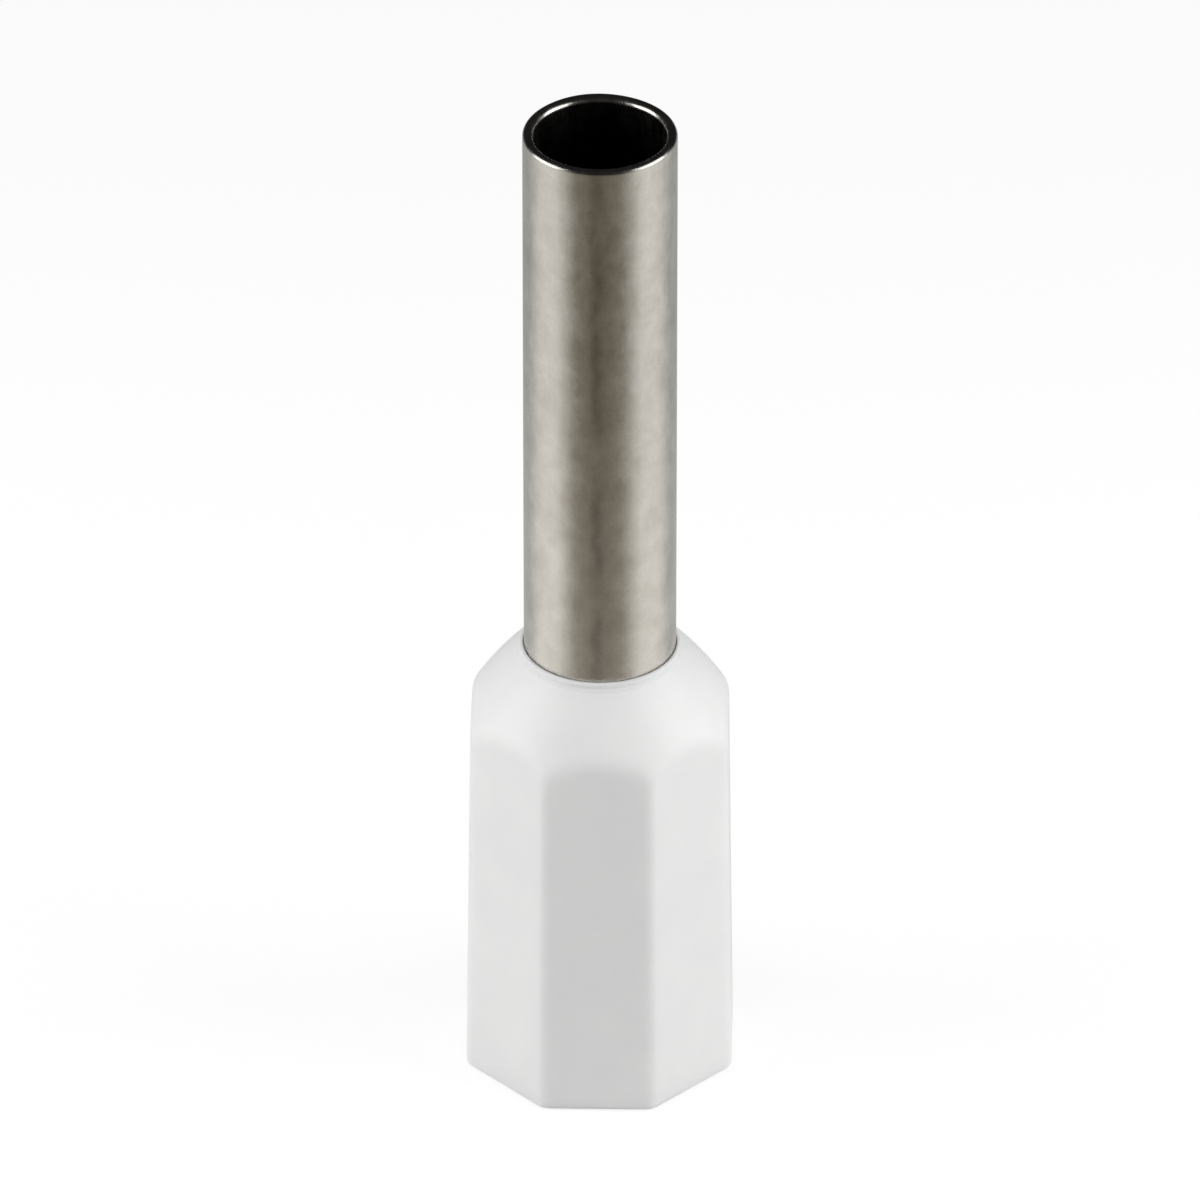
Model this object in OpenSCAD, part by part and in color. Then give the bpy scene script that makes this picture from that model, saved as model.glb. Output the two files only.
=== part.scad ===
// Insulated wire ferrule: a drawn, flared metal tube gripped by a moulded
// eight-sided collar. Millimetres.
// The origin is the centre of the collar's open end, which is also the face
// that the ferrule stands on. +Z runs along the axis to the tube's mouth, and
// one flat of the collar faces -Y.

/* [Tube] */
// Inside diameter of the tube, which takes the stripped strands
tube_bore = 1.7; // [1.3:0.05:2.0]
// Wall of the drawn tube
tube_wall = 0.15; // [0.1:0.01:0.2]
// Length of tube that stands clear of the collar
pin_length = 7.8; // [5:0.1:18]
// Radius on the inner and outer edge of the tube's mouth
rim_radius = 0.07; // [0.01:0.01:0.1]
// Angle of the flared inner end, measured from the axis
flare_angle = 30; // [20:1:45]
// Radius of the bend between the straight tube and its flare
flare_bend = 0.4; // [0.2:0.05:0.8]

/* [Collar] */
// Length of the collar
collar_length = 6.3; // [5:0.1:9]
// Inside diameter of the skirt, which takes the wire's insulation
wire_bore = 2.95; // [2.5:0.05:4]
// Wall between the skirt's bore and the middle of a flat, at the open end
skirt_wall = 0.29; // [0.22:0.01:0.6]
// Draft of the eight flats, which narrow towards the tube
draft_angle = 0.8; // [0:0.1:1.2]
// Radius that sets how far the eight upright corners are blunted
corner_radius = 0.15; // [0.05:0.01:0.4]
// Radius round the outer edge of the open end
base_radius = 0.08; // [0.04:0.01:0.16]
// Bevel that leads the wire into the skirt
lead_in = 0.06; // [0.02:0.01:0.08]

/* [Shoulder] */
// Height of the shoulder, from the middle of each flat to the lip
shoulder_height = 0.79; // [0.5:0.01:1.3]
// Radius of the shoulder's bulge, seen in section
shoulder_radius = 5; // [2:0.25:9]
// Height of the small lip that stands round the tube
lip_height = 0.07; // [0.03:0.01:0.15]
// Wall of the lip, measured from the seat
lip_wall = 0.055; // [0.03:0.005:0.12]
// Length over which the collar grips the straight tube
grip_length = 1.5; // [1:0.1:2.5]

/* [Fits] */
// Clearance between the tube and the collar, all along their seat
seat_clearance = 0.01; // [0:0.005:0.03]
// Gap between the edge of the flare and the skirt's bore
flare_gap = 0.06; // [0.02:0.01:0.15]

/* [Hidden] */
$fn = 96;

// How far a cutting shape runs past the face that it cuts
overcut = 0.1;

quarter_turn = 90;
half_turn = 180;
flats = 8;
step_angle = 2 * half_turn / flats;
// Number of straight steps in the small arcs that are drawn point by point
foot_steps = 3;
bend_steps = 6;

function toward(angle) = [cos(angle), sin(angle)];

// Points along an arc, both ends included
function arc(centre, radius, from, to, steps) =
    [for (i = [0 : steps]) centre + radius * toward(from + (to - from) * i / steps)];

// Tube
tube_r = tube_bore / 2 + tube_wall;
mouth_z = collar_length + pin_length;
rim_r = min(rim_radius, tube_wall / 2);

// The bend turns about a centre outside the tube, and the flare runs on from it
bend_centre = [tube_r + flare_bend, collar_length - grip_length];
flare_along = [sin(flare_angle), -cos(flare_angle)];
flare_start = bend_centre + flare_bend * toward(half_turn + flare_angle);
flare_length = (wire_bore / 2 - flare_gap - flare_start[0]) / flare_along[0];

// Line that lies a given depth inside the tube's outer surface: straight down
// from a height, round the bend, and a given length along the flare
function tube_line(depth, top, length) =
    let (
        radius = flare_bend + depth,
        bend = arc(bend_centre, radius, half_turn, half_turn + flare_angle, bend_steps)
    )
    concat([[tube_r - depth, top]], bend, [bend[bend_steps] + length * flare_along]);

// Collar, outside
foot_r = wire_bore / 2 + skirt_wall;
flat_lean = tan(draft_angle);
function flat_r(z) = foot_r - z * flat_lean;
function corner_r(z) = (flat_r(z) - corner_radius) / cos(step_angle / 2) + corner_radius;

// Centre of the foot's rounded edge, which touches the base and the flat
foot_centre = [foot_r - base_radius * (1 + sin(draft_angle)) / cos(draft_angle), base_radius];

// The shoulder is an arc from the middle of a flat to the foot of the lip
lip_r = tube_r + seat_clearance + lip_wall;
lip_z = collar_length - lip_height;
shoulder_z = lip_z - shoulder_height;
shoulder_low = [flat_r(shoulder_z), shoulder_z];
shoulder_high = [lip_r, lip_z];
shoulder_chord = shoulder_high - shoulder_low;
shoulder_inward = [-shoulder_chord[1], shoulder_chord[0]] / norm(shoulder_chord);
shoulder_depth = sqrt(pow(shoulder_radius, 2) - pow(norm(shoulder_chord) / 2, 2));
shoulder_centre = (shoulder_low + shoulder_high) / 2 + shoulder_depth * shoulder_inward;

// Collar, inside
skirt_r = wire_bore / 2;

// Cuts a corner at the tube's mouth down to the rim's radius, about a centre
// at x. Flipped, it cuts the inner corner
module rim_cutter(x, flip = 0) {
    translate([x, mouth_z - rim_r])
        mirror([flip, 0])
            difference() {
                square(rim_r + overcut);
                circle(rim_r);
            }
}

// Half section of the tube: a drawn wall of even thickness, bent into the flare
module tube_section() {
    outside = tube_line(0, mouth_z, flare_length);
    inside = tube_line(tube_wall, mouth_z, flare_length);
    difference() {
        polygon(concat(outside, [for (i = [len(inside) - 1 : -1 : 0]) inside[i]]));
        rim_cutter(tube_r - rim_r);
        rim_cutter(tube_r - tube_wall + rim_r, flip = 1);
    }
}

module ferrule_tube() {
    color([0.72, 0.70, 0.66])
        rotate_extrude()
            tube_section();
}

// Section through two opposite flats: drafted sides on a rounded foot
module slab_section() {
    foot = arc(foot_centre, base_radius, -quarter_turn, draft_angle, foot_steps);
    right = concat(foot, [[flat_r(collar_length), collar_length]]);
    left = [for (i = [len(right) - 1 : -1 : 0]) [-right[i][0], right[i][1]]];
    polygon(concat(right, left));
}

// The eight flats, two at a time
module flat_sides() {
    intersection_for (i = [0 : flats / 2 - 1])
        rotate(i * step_angle)
            rotate([quarter_turn, 0, 0])
                linear_extrude(4 * foot_r, center = true)
                    slab_section();
}

// Half section of the turned outside: blunted corners, the shoulder's arc and
// the lip
module turned_section() {
    difference() {
        polygon([
            [0, 0],
            [corner_r(0), 0],
            [corner_r(collar_length), collar_length],
            [0, collar_length]
        ]);
        difference() {
            translate([0, shoulder_z - shoulder_height])
                square([2 * foot_r, 2 * shoulder_height + lip_height + overcut]);
            translate(shoulder_centre)
                circle(shoulder_radius);
            square([lip_r, collar_length + 2 * overcut]);
        }
    }
}

// Half section of the hollow: the seat that follows the tube, narrowed to the
// skirt's bore, and the lead-in at the open end
module hollow_section() {
    seat = tube_line(-seat_clearance, collar_length + overcut, collar_length);
    intersection() {
        polygon(concat([[0, collar_length + overcut]], seat, [[0, seat[len(seat) - 1][1]]]));
        translate([0, -overcut])
            square([skirt_r, collar_length + 2 * overcut]);
    }
    polygon([
        [0, -overcut],
        [skirt_r + lead_in + overcut, -overcut],
        [0, skirt_r + lead_in]
    ]);
}

module insulating_collar() {
    color([0.94, 0.94, 0.93])
        difference() {
            intersection() {
                flat_sides();
                rotate_extrude()
                    turned_section();
            }
            rotate_extrude()
                hollow_section();
        }
}

ferrule_tube();
insulating_collar();
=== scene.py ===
"""Insulated wire ferrule: a flared tinned tube held in an eight-sided moulded collar.

Metres, in the frame of the CAD: Z up the tube, one flat of the collar faces -Y.
"""

import bpy
import bmesh
from math import atan2, cos, pi, radians, sin, sqrt, tan
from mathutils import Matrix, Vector


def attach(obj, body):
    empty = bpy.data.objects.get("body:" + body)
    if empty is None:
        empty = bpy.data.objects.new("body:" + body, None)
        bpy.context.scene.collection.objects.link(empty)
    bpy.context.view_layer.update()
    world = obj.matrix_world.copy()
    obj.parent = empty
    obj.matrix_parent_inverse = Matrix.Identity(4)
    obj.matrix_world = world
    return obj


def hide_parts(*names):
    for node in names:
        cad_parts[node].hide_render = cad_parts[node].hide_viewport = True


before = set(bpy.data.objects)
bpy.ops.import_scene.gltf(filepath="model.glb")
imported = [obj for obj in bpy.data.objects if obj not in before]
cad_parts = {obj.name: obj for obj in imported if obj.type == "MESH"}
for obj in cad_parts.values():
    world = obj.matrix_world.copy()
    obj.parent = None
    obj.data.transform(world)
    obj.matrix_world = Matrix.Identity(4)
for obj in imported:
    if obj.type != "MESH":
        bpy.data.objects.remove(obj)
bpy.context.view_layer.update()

MM = 0.001

# Both pieces, in mm
COLLAR_TOP = 6.3
MOUTH_Z = 14.1
SEAT_GAP = 0.01
GRIP_LENGTH = 1.5
BEND_R = 0.4
FLARE_ANGLE = radians(30)

# Tube, in mm
TUBE_R = 1.0
TUBE_WALL = 0.15
RIM_IN = 0.09
RIM_OUT = 0.06
FLARE_R = 1.415
BEND_CENTRE = (TUBE_R + BEND_R, COLLAR_TOP - GRIP_LENGTH)
RIPPLE = 0.004
RIPPLE_DEPTH = 0.4

# Collar, in mm
FOOT_R = 1.765
DRAFT = tan(radians(0.8))
CORNER_R = 0.25
BASE_R = 0.08
FLATS = 8
STEP = 2 * pi / FLATS
SKIRT_R = 1.475
LEAD_IN = 0.06
LIP_R = 1.065
LIP_HEIGHT = 0.07
LIP_ROUND = 0.04
LIP_EDGE = (0.006, 0.008)
LIP_FOOT_R = 0.04
LIP_FOOT_RISE = 0.02
SHOULDER_R = 5.0
SHOULDER_TOP = (LIP_R, COLLAR_TOP - LIP_HEIGHT)
SHOULDER_LOW = 5.44
SHOULDER_SOFT = 0.09
SHOULDER_END = 0.03
SHOULDER_FROM = 4
FLAT_TOP = 4.85

# Studio, in mm; floor and world values are shares of white
FLOOR_R = 800
FLOOR_DROP = 0.002
FLOOR_DIFFUSE = 0.80
FLOOR_SHADOWED = 0.30
FLOOR_GLOW = 0.75
WORLD_LIGHT = 0.30
WORLD_TO_METAL = 0.03
PANEL_AIM = 7
PANEL_DISTANCE = 60


# ---------------------------------------------------------------- mesh helpers

def arc(centre, radius, start, end, steps):
    """Points of an arc in the (radius, height) plane."""
    return [(centre[0] + radius * cos(start + (end - start) * i / steps),
             centre[1] + radius * sin(start + (end - start) * i / steps))
            for i in range(steps + 1)]


def line(start, end, steps):
    """Points between two ends, both ends left out."""
    return [tuple(a + (b - a) * i / steps for a, b in zip(start, end))
            for i in range(1, steps)]


def closed_rings(name, rings, sharp=radians(32)):
    """Joins rings of equal length into one closed skin, the last to the first."""
    bm = bmesh.new()
    rows = [[bm.verts.new(Vector(p) * MM) for p in ring] for ring in rings]
    for row, above in zip(rows, rows[1:] + rows[:1]):
        for i in range(len(row)):
            j = (i + 1) % len(row)
            bm.faces.new((row[i], row[j], above[j], above[i]))
    bmesh.ops.recalc_face_normals(bm, faces=bm.faces)
    for face in bm.faces:
        face.smooth = True
    for edge in bm.edges:
        edge.smooth = edge.calc_face_angle(0) < sharp
    mesh = bpy.data.meshes.new(name)
    bm.to_mesh(mesh)
    bm.free()
    piece = bpy.data.objects.new(name, mesh)
    bpy.context.collection.objects.link(piece)
    return piece


# ------------------------------------------------------------------------ tube

def tube_profile():
    """The wall's closed section: inside up, over the rim, outside down, round the flare."""
    bore = TUBE_R - TUBE_WALL
    bend_end = pi + FLARE_ANGLE
    start_in = (BEND_CENTRE[0] + (BEND_R + TUBE_WALL) * cos(bend_end),
                BEND_CENTRE[1] + (BEND_R + TUBE_WALL) * sin(bend_end))
    start_out = (BEND_CENTRE[0] + BEND_R * cos(bend_end),
                 BEND_CENTRE[1] + BEND_R * sin(bend_end))
    run = (FLARE_R - start_out[0]) / sin(FLARE_ANGLE)
    reach = (run * sin(FLARE_ANGLE), -run * cos(FLARE_ANGLE))
    lip_out = (start_out[0] + reach[0], start_out[1] + reach[1])
    lip_in = (start_in[0] + reach[0], start_in[1] + reach[1])
    points = [lip_in] + line(lip_in, start_in, 5)
    points += arc(BEND_CENTRE, BEND_R + TUBE_WALL, bend_end, pi, 8)
    points += line((bore, BEND_CENTRE[1]), (bore, MOUTH_Z - RIM_IN), 24)
    points += arc((bore + RIM_IN, MOUTH_Z - RIM_IN), RIM_IN, pi, pi / 2, 10)
    points += arc((TUBE_R - RIM_OUT, MOUTH_Z - RIM_OUT), RIM_OUT, pi / 2, 0, 8)[1:]
    points += line((TUBE_R, MOUTH_Z - RIM_OUT), (TUBE_R, BEND_CENTRE[1]), 24)
    points += arc(BEND_CENTRE, BEND_R, pi, bend_end, 8)
    points += line(start_out, lip_out, 5) + [lip_out]
    return points


def rim_ripple(angle):
    """The cut rim isn't quite level: a few slow waves, never above the mouth."""
    return -RIPPLE * (1.2 + sin(2 * angle + 0.6) * 0.7 + sin(5 * angle + 2.1) * 0.5)


def make_tube(columns=192):
    """The tube's wall as one closed skin, its mouth rippled."""
    rings = []
    for r, z in tube_profile():
        lift = max(0.0, (z - (MOUTH_Z - RIPPLE_DEPTH)) / RIPPLE_DEPTH)
        ring = []
        for i in range(columns):
            angle = 2 * pi * i / columns
            ring.append((r * cos(angle), r * sin(angle), z + lift * rim_ripple(angle)))
        rings.append(ring)
    return closed_rings("tube_wall", rings)


# ---------------------------------------------------------------------- collar

def octagon_ring(apothem, corner, per_flat=16, per_corner=8):
    """One level of the eight flats and their rounded corners, as (x, y)."""
    half = (apothem - corner) * tan(STEP / 2)
    reach = (apothem - corner) / cos(STEP / 2)
    ring = []
    for k in range(FLATS):
        facing = -pi / 2 + k * STEP
        out, along = (cos(facing), sin(facing)), (-sin(facing), cos(facing))
        for i in range(per_flat):
            t = half * (2 * i / per_flat - 1)
            ring.append((out[0] * apothem + along[0] * t, out[1] * apothem + along[1] * t))
        middle = facing + STEP / 2
        for i in range(per_corner):
            turn = facing + STEP * i / per_corner
            ring.append((reach * cos(middle) + corner * cos(turn),
                         reach * sin(middle) + corner * sin(turn)))
    return ring


def soft_min(a, b, width):
    """The smaller of two radii, with the edge between them rounded off."""
    near = max(width - abs(a - b), 0.0) / width
    return min(a, b) - near * near * width / 4


def shoulder_centre():
    """Centre of the shoulder's arc, from a flat's middle up to the top."""
    low = Vector((FOOT_R - SHOULDER_LOW * DRAFT, SHOULDER_LOW))
    high = Vector(SHOULDER_TOP)
    chord = high - low
    inward = Vector((-chord.y, chord.x)).normalized()
    return (low + high) / 2 + inward * sqrt(SHOULDER_R ** 2 - chord.length_squared / 4)


def shoulder_radius_at(z, centre=shoulder_centre()):
    """Radius of the turned shoulder at a height."""
    rise = z - centre.y
    return centre.x + sqrt(max(SHOULDER_R ** 2 - rise ** 2, 0.0))


def side_ring(z, inset=0.0):
    """One level of the outside: flats below, the turned shoulder above."""
    flats = octagon_ring(FOOT_R - z * DRAFT - inset, CORNER_R - inset)
    ring = []
    for x, y in flats:
        radius = sqrt(x * x + y * y)
        kept = radius
        if z > SHOULDER_FROM:
            kept = soft_min(radius, shoulder_radius_at(z), SHOULDER_SOFT)
        ring.append((x * kept / radius, y * kept / radius, z))
    return ring


def collar_outside():
    """Levels from the foot's rounded edge to the top of the shoulder."""
    rings = []
    for i in range(9):
        turn = pi / 2 * i / 8
        rings.append(side_ring(BASE_R * (1 - cos(turn)), BASE_R * (1 - sin(turn))))
    for i in range(1, 25):
        rings.append(side_ring(BASE_R + (FLAT_TOP - BASE_R) * i / 24))
    top = SHOULDER_TOP[1] - SHOULDER_END
    for i in range(1, 65):
        rings.append(side_ring(FLAT_TOP + (top - FLAT_TOP) * i / 64))
    return rings


def lip_profile():
    """The small upright lip round the tube, with its hollow foot and rounded top."""
    foot = SHOULDER_TOP[1]
    seat = TUBE_R + SEAT_GAP
    points = arc((LIP_R + LIP_FOOT_R, foot + LIP_FOOT_RISE), LIP_FOOT_R, -pi / 2 - 0.4, -pi, 5)
    points += arc((LIP_R - LIP_ROUND, COLLAR_TOP - LIP_ROUND), LIP_ROUND, 0, pi / 2, 5)
    return points + [(seat + LIP_EDGE[0], COLLAR_TOP), (seat, COLLAR_TOP - LIP_EDGE[1])]


def hollow_profile():
    """Down through the grip, out along the seat, down the skirt and its lead-in."""
    seat_r = BEND_R - SEAT_GAP
    bend_end = pi + FLARE_ANGLE
    seat_start = (BEND_CENTRE[0] + seat_r * cos(bend_end),
                  BEND_CENTRE[1] + seat_r * sin(bend_end))
    seat_end = (SKIRT_R, seat_start[1] - (SKIRT_R - seat_start[0]) / tan(FLARE_ANGLE))
    grip = TUBE_R + SEAT_GAP
    points = line((grip, COLLAR_TOP - 0.01), (grip, BEND_CENTRE[1]), 6)
    points += arc(BEND_CENTRE, seat_r, pi, bend_end, 8)
    points += line(seat_start, seat_end, 4) + [seat_end]
    points += line(seat_end, (SKIRT_R, LEAD_IN), 12)
    return points + [(SKIRT_R, LEAD_IN), (SKIRT_R + LEAD_IN, 0)]


def make_collar():
    """The collar as one closed skin: outside, lip, then the hollow back to the foot."""
    rings = collar_outside()
    headings = [atan2(y, x) for x, y, _ in rings[20]]
    for r, z in lip_profile() + hollow_profile():
        rings.append([(r * cos(a), r * sin(a), z) for a in headings])
    return closed_rings("collar_shell", rings)


# ------------------------------------------------------------------- materials

class Graph:
    """A node tree with short names for its nodes. Values may be numbers or sockets."""

    def __init__(self, owner):
        owner.use_nodes = True
        self.nodes, self.links = owner.node_tree.nodes, owner.node_tree.links

    def add(self, kind, **settings):
        node = self.nodes.new("ShaderNode" + kind)
        for key, value in settings.items():
            setattr(node, key, value)
        return node

    def feed(self, socket, value):
        if isinstance(value, bpy.types.NodeSocket):
            self.links.new(value, socket)
        else:
            socket.default_value = value

    def math(self, operation, first, second=0.0):
        node = self.add("Math", operation=operation)
        self.feed(node.inputs[0], first)
        self.feed(node.inputs[1], second)
        return node.outputs[0]

    def vector(self, operation, first, second=(0, 0, 0)):
        node = self.add("VectorMath", operation=operation)
        self.feed(node.inputs[0], first)
        self.feed(node.inputs[1], second)
        return node.outputs["Vector"]

    def scaled(self, vector, factor):
        node = self.add("VectorMath", operation="SCALE")
        self.feed(node.inputs[0], vector)
        self.feed(node.inputs["Scale"], factor)
        return node.outputs["Vector"]

    def length(self, vector):
        node = self.add("VectorMath", operation="LENGTH")
        self.feed(node.inputs[0], vector)
        return node.outputs["Value"]

    def place(self):
        """Object coordinates in millimetres."""
        return self.scaled(self.add("TexCoord").outputs["Object"], 1 / MM)

    def along(self, place):
        """The X, Y and Z of a place."""
        parts = self.add("SeparateXYZ")
        self.feed(parts.inputs[0], place)
        return parts.outputs

    def noise(self, place, scale, stretch=(1, 1, 1), detail=4.0, roughness=0.5):
        texture = self.add("TexNoise")
        self.feed(texture.inputs["Vector"], self.vector("MULTIPLY", place, stretch))
        for key, value in (("Scale", scale), ("Detail", detail), ("Roughness", roughness)):
            texture.inputs[key].default_value = value
        return texture.outputs["Fac"]

    def remap(self, source, low, high, new_low, new_high):
        """A value moved from one range to another, held at its ends."""
        node = self.add("MapRange")
        for key, value in (("Value", source), ("From Min", low), ("From Max", high),
                           ("To Min", new_low), ("To Max", new_high)):
            self.feed(node.inputs[key], value)
        return node.outputs["Result"]

    def ramp(self, source, stops):
        """Colours along a value, as (position, colour) pairs."""
        node = self.add("ValToRGB")
        elements = node.color_ramp.elements
        while len(elements) < len(stops):
            elements.new(0.5)
        for element, (position, colour) in zip(elements, stops):
            element.position = position
            element.color = (*colour, 1)
        self.feed(node.inputs["Fac"], source)
        return node.outputs["Color"]

    def bump(self, height, strength, depth_mm, under=None):
        node = self.add("Bump")
        self.feed(node.inputs["Strength"], strength)
        self.feed(node.inputs["Distance"], depth_mm * MM)
        self.feed(node.inputs["Height"], height)
        if under is not None:
            self.feed(node.inputs["Normal"], under)
        return node.outputs["Normal"]

    def mix(self, factor, first, second):
        node = self.add("MixShader")
        for socket, value in zip(node.inputs, (factor, first, second)):
            self.feed(socket, value)
        return node.outputs[0]


def die_streak_and_painted_shade(graph, place):
    """A dark broken streak down the front of the tube: partly a drawing-die line, partly painted
    shade for the dark middle of the reflection.
    """
    parts = graph.along(place)
    wander = graph.noise(place, 1.4, stretch=(0, 0, 1), detail=3)
    offset = graph.math("ADD", parts["X"], graph.remap(wander, 0.3, 0.7, -0.03, 0.09))
    streak = graph.remap(graph.math("ABSOLUTE", offset), 0.02, 0.11, 1, 0)
    broken = graph.remap(graph.noise(place, 2.3, stretch=(1, 1, 0.6), detail=4), 0.40, 0.62, 0, 1)
    front = graph.remap(parts["Y"], -0.96, -0.90, 1, 0)
    return graph.math("MULTIPLY", graph.math("MULTIPLY", streak, broken), front)


def tin_material():
    """Satin tinned copper: cloudy, faintly drawn lengthways, with painted shade inside the bore, on
    the cut rim and in a streak down the front.
    """
    material = bpy.data.materials.new("tinned_satin")
    graph = Graph(material)
    shader = graph.nodes["Principled BSDF"]
    place = graph.place()
    cloud = graph.noise(place, 2.6, detail=5, roughness=0.6)
    blotch = graph.noise(place, 5.5, stretch=(1, 1, 0.55), detail=4, roughness=0.65)
    drawn = graph.noise(place, 5.0, stretch=(1, 1, 0.12), detail=3)
    grain = graph.noise(place, 38.0, detail=2)

    colour = graph.ramp(cloud, ((0.30, (0.61, 0.585, 0.54)), (0.72, (0.75, 0.73, 0.69))))
    shade = graph.remap(blotch, 0.34, 0.66, 0.95, 1.03)
    # Painted shade, partly a die line: the streak down the front takes the colour down to 0.70.
    streak_and_painted_shade = graph.remap(die_streak_and_painted_shade(graph, place), 0, 1, 1.0, 0.70)
    across = graph.length(graph.vector("MULTIPLY", place, (1, 1, 0)))
    # Painted shade: the inside of the bore, which lies in shade, takes the colour down to 0.30.
    bore = graph.remap(across, 0.851, 0.858, 0.30, 1.0)
    # Painted shade: the rim's top takes the colour down to 0.55, standing in for its dark
    # reflection.
    rim = graph.remap(graph.along(place)["Z"], MOUTH_Z - 0.07, MOUTH_Z - 0.02, 1.0, 0.55)
    for factor in (streak_and_painted_shade, bore, rim):
        shade = graph.math("MULTIPLY", shade, factor)
    graph.feed(shader.inputs["Base Color"], graph.scaled(colour, shade))

    graph.feed(shader.inputs["Metallic"], 1.0)
    haze = graph.math("ADD", graph.remap(blotch, 0.34, 0.66, 0.17, 0.28),
                      graph.remap(drawn, 0.3, 0.7, 0.0, 0.05))
    graph.feed(shader.inputs["Roughness"], haze)
    surface = graph.bump(drawn, 0.25, 0.008)
    surface = graph.bump(blotch, 0.30, 0.006, under=surface)
    graph.feed(shader.inputs["Normal"], graph.bump(grain, 0.20, 0.002, under=surface))
    return material


def plastic_material():
    """White moulded polypropylene: satin, hardly uneven, a little light let in at the edges."""
    material = bpy.data.materials.new("collar_plastic")
    graph = Graph(material)
    shader = graph.nodes["Principled BSDF"]
    place = graph.place()
    cloud = graph.noise(place, 1.2, detail=3)
    skin = graph.noise(place, 26.0, detail=3)
    swell = graph.noise(place, 2.2, detail=2)
    colour = graph.ramp(cloud, ((0.3, (0.855, 0.852, 0.855)), (0.7, (0.88, 0.88, 0.875))))
    graph.feed(shader.inputs["Base Color"], colour)
    graph.feed(shader.inputs["Roughness"], graph.remap(skin, 0.3, 0.7, 0.40, 0.48))
    surface = graph.bump(swell, 0.10, 0.010)
    graph.feed(shader.inputs["Normal"], graph.bump(skin, 0.12, 0.002, under=surface))
    graph.feed(shader.inputs["IOR"], 1.49)
    graph.feed(shader.inputs["Subsurface Weight"], 0.4)
    graph.feed(shader.inputs["Subsurface Radius"], (1.0, 0.95, 0.9))
    graph.feed(shader.inputs["Subsurface Scale"], 0.2 * MM)
    return material


# ---------------------------------------------------------------------- studio

def panel_light(name, azimuth, elevation, size, radiance):
    """A soft box aimed at the middle of the object; azimuth 0 is the camera's side."""
    data = bpy.data.lights.new(name, "AREA")
    data.shape = "RECTANGLE"
    data.size = data.size_y = size * MM
    data.energy = radiance * pi * data.size * data.size_y
    lamp = bpy.data.objects.new(name, data)
    bpy.context.collection.objects.link(lamp)
    a, e = radians(azimuth), radians(elevation)
    out = Vector((sin(a) * cos(e), -cos(a) * cos(e), sin(e)))
    lamp.location = (Vector((0, 0, PANEL_AIM)) + out * PANEL_DISTANCE) * MM
    lamp.rotation_mode = "QUATERNION"
    lamp.rotation_quaternion = out.to_track_quat("Z", "Y")
    return lamp


def studio_floor():
    """Pale floor. Metal sees it as a studio: dark ahead, bright at the sides, grey behind."""
    bm = bmesh.new()
    bmesh.ops.create_circle(bm, cap_ends=True, segments=96, radius=FLOOR_R * MM)
    mesh = bpy.data.meshes.new("floor")
    bm.to_mesh(mesh)
    bm.free()
    floor = bpy.data.objects.new("floor", mesh)
    floor.location.z = -FLOOR_DROP * MM
    bpy.context.collection.objects.link(floor)
    floor.data.materials.append(floor_material())


def floor_material():
    """White to the camera, with the object's shadow; pale grey to soft light; a studio to metal."""
    material = bpy.data.materials.new("floor")
    graph = Graph(material)
    graph.nodes.clear()
    path = graph.add("LightPath").outputs
    bounce = diffuse(graph, FLOOR_DIFFUSE)
    seen = graph.add("AddShader")
    graph.feed(seen.inputs[0], diffuse(graph, FLOOR_SHADOWED))
    graph.feed(seen.inputs[1], glow(graph, "Emission", FLOOR_GLOW))
    mirrored = graph.add("Emission")
    graph.feed(mirrored.inputs["Color"], ring_of_light(graph))
    shader = graph.mix(path["Is Camera Ray"], bounce, seen.outputs[0])
    shader = graph.mix(path["Is Glossy Ray"], shader, mirrored.outputs[0])
    below = graph.add("NewGeometry").outputs["Backfacing"]
    shader = graph.mix(below, shader, graph.add("BsdfTransparent").outputs[0])
    graph.feed(graph.add("OutputMaterial").inputs["Surface"], shader)
    return material


def diffuse(graph, value):
    """A matt grey."""
    node = graph.add("BsdfDiffuse")
    graph.feed(node.inputs["Color"], (value, value, value, 1))
    return node.outputs[0]


def glow(graph, kind, strength):
    """White light of its own, as an Emission or a Background."""
    node = graph.add(kind)
    graph.feed(node.inputs["Strength"], strength)
    return node.outputs[0]


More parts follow.
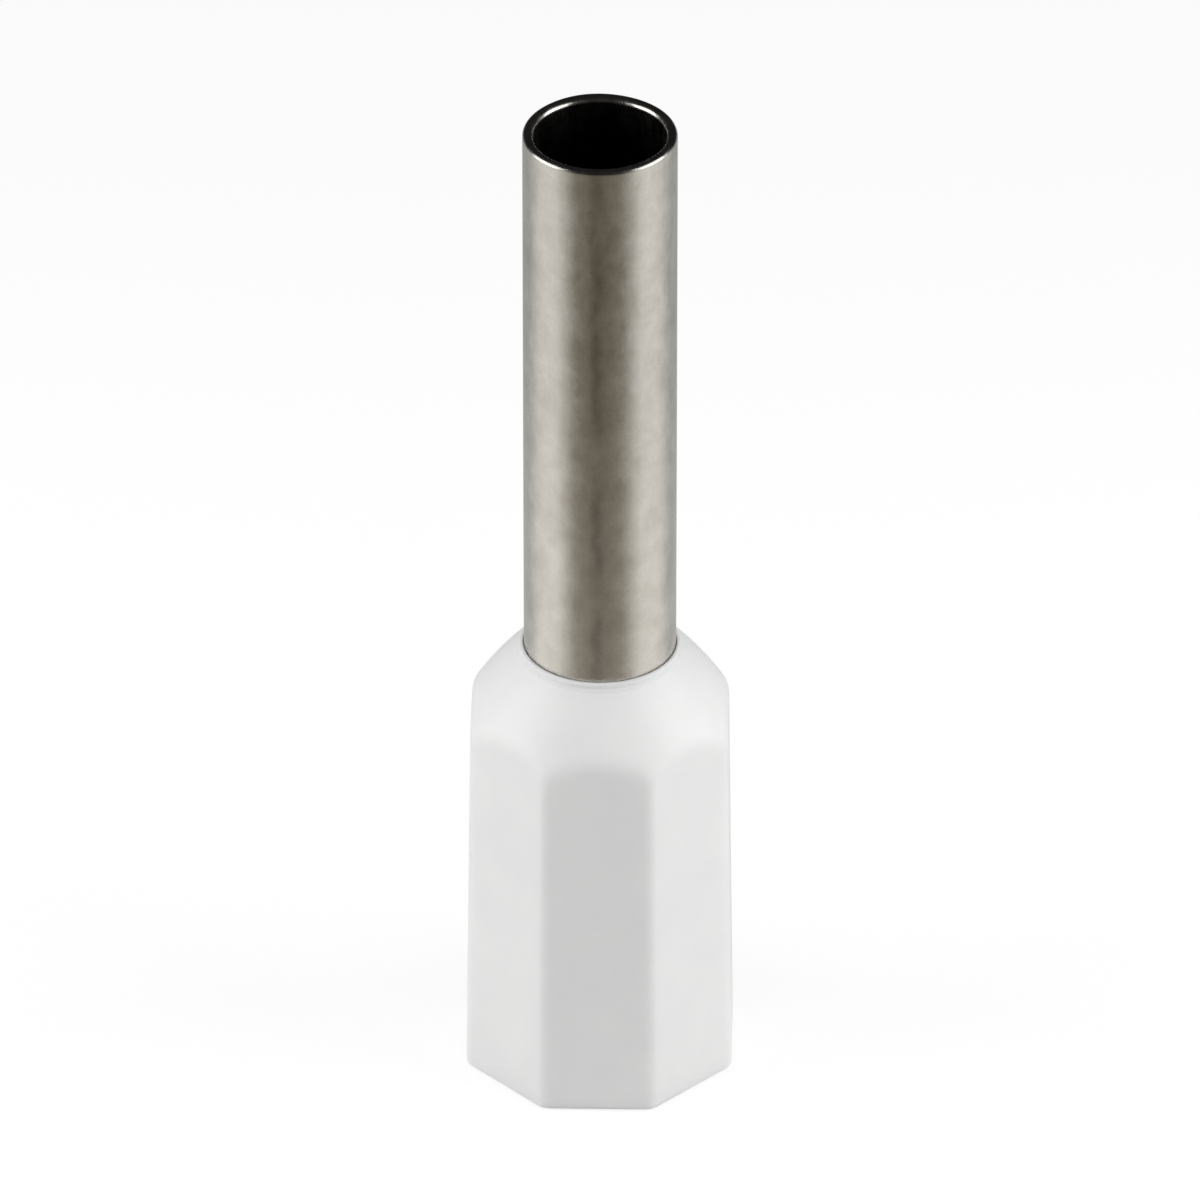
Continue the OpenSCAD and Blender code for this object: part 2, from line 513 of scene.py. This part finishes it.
def ring_of_light(graph):
    """The studio that metal sees round the object, by the angle from the -Y side."""
    place = graph.place()
    parts = graph.along(place)
    side, ahead = graph.math("ABSOLUTE", parts["X"]), graph.math("MULTIPLY", parts["Y"], -1)
    angle = graph.math("ARCTAN2", side, ahead)
    warm_dark, grey = (0.140, 0.122, 0.092), (0.225, 0.20, 0.165)
    bright, behind = (0.80, 0.79, 0.76), (0.40, 0.41, 0.41)
    ring = graph.ramp(graph.math("DIVIDE", angle, pi),
                      ((0.04, warm_dark), (0.19, grey), (0.36, bright),
                       (0.53, bright), (0.70, behind)))
    near = graph.remap(graph.length(place), 10, 20, 0.13, 0.0)
    return graph.vector("ADD", ring, graph.scaled((1, 0.97, 0.93), near))


def studio_world():
    """Even pale light from all round; the camera sees plain white, metal sees it dark."""
    world = bpy.data.worlds.new("studio")
    bpy.context.scene.world = world
    graph = Graph(world)
    graph.nodes.clear()
    path = graph.add("LightPath").outputs
    shader = graph.mix(path["Is Glossy Ray"], glow(graph, "Background", WORLD_LIGHT),
                       glow(graph, "Background", WORLD_TO_METAL))
    shader = graph.mix(path["Is Camera Ray"], shader, glow(graph, "Background", 1.0))
    graph.feed(graph.add("OutputWorld").inputs["Surface"], shader)


def camera(azimuth=1.2, elevation=33.0, distance=200, aim=6.93, lens=458):
    """A long lens, aimed at a height on the tube's axis; azimuth 0 looks along +Y."""
    data = bpy.data.cameras.new("camera")
    data.lens = lens
    data.sensor_width = 36
    data.clip_start, data.clip_end = 1 * MM, 10
    eye = bpy.data.objects.new("camera", data)
    bpy.context.collection.objects.link(eye)
    a, e = radians(azimuth), radians(elevation)
    back = Vector((sin(a) * cos(e), -cos(a) * cos(e), sin(e)))
    eye.location = (Vector((0, 0, aim)) + back * distance) * MM
    eye.rotation_mode = "QUATERNION"
    eye.rotation_quaternion = back.to_track_quat("Z", "Y")
    bpy.context.scene.camera = eye


# ----------------------------------------------------------------------- scene

def dress(piece, material, node):
    """Gives a piece its material and its body, and hides the imported part that it stands for."""
    piece.data.materials.append(material)
    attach(piece, "root")
    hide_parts(node)


camera()
dress(make_tube(), tin_material(), "ferrule_tube")
dress(make_collar(), plastic_material(), "insulating_collar")
studio_floor()
studio_world()
panel_light("left_panel", -80, 20, 50, 2.75)
panel_light("right_panel", 80, 20, 50, 2.95)
panel_light("top_panel", 0, 80, 40, 2.5).visible_glossy = False
bpy.context.scene.view_settings.view_transform = "Standard"
